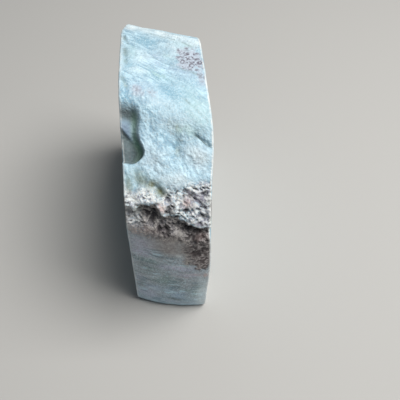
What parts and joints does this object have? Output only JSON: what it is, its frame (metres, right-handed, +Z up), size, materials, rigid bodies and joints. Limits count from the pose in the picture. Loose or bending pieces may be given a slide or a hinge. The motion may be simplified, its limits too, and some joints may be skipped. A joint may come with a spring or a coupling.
{
  "type": "rough larimar chunk",
  "caption": "Thick slab of rough larimar with two flat sawn faces and a natural lumpy rim, standing on its narrow edge.",
  "frame": {"origin": "middle of the flat base the slab stands on", "axes": "+Z up, X across the slab's thickness between the sawn faces, the front wall of the rim looks along -Y"},
  "size_m": [0.024, 0.0818, 0.0767],
  "materials": {
    "larimar": "rough broken rim, pale blue and white with a cream, pink and brown matrix belt; sawn faces smooth and matt"
  },
  "bodies": {
    "root": {"larimar_slab": "larimar"}
  },
  "joints": []
}
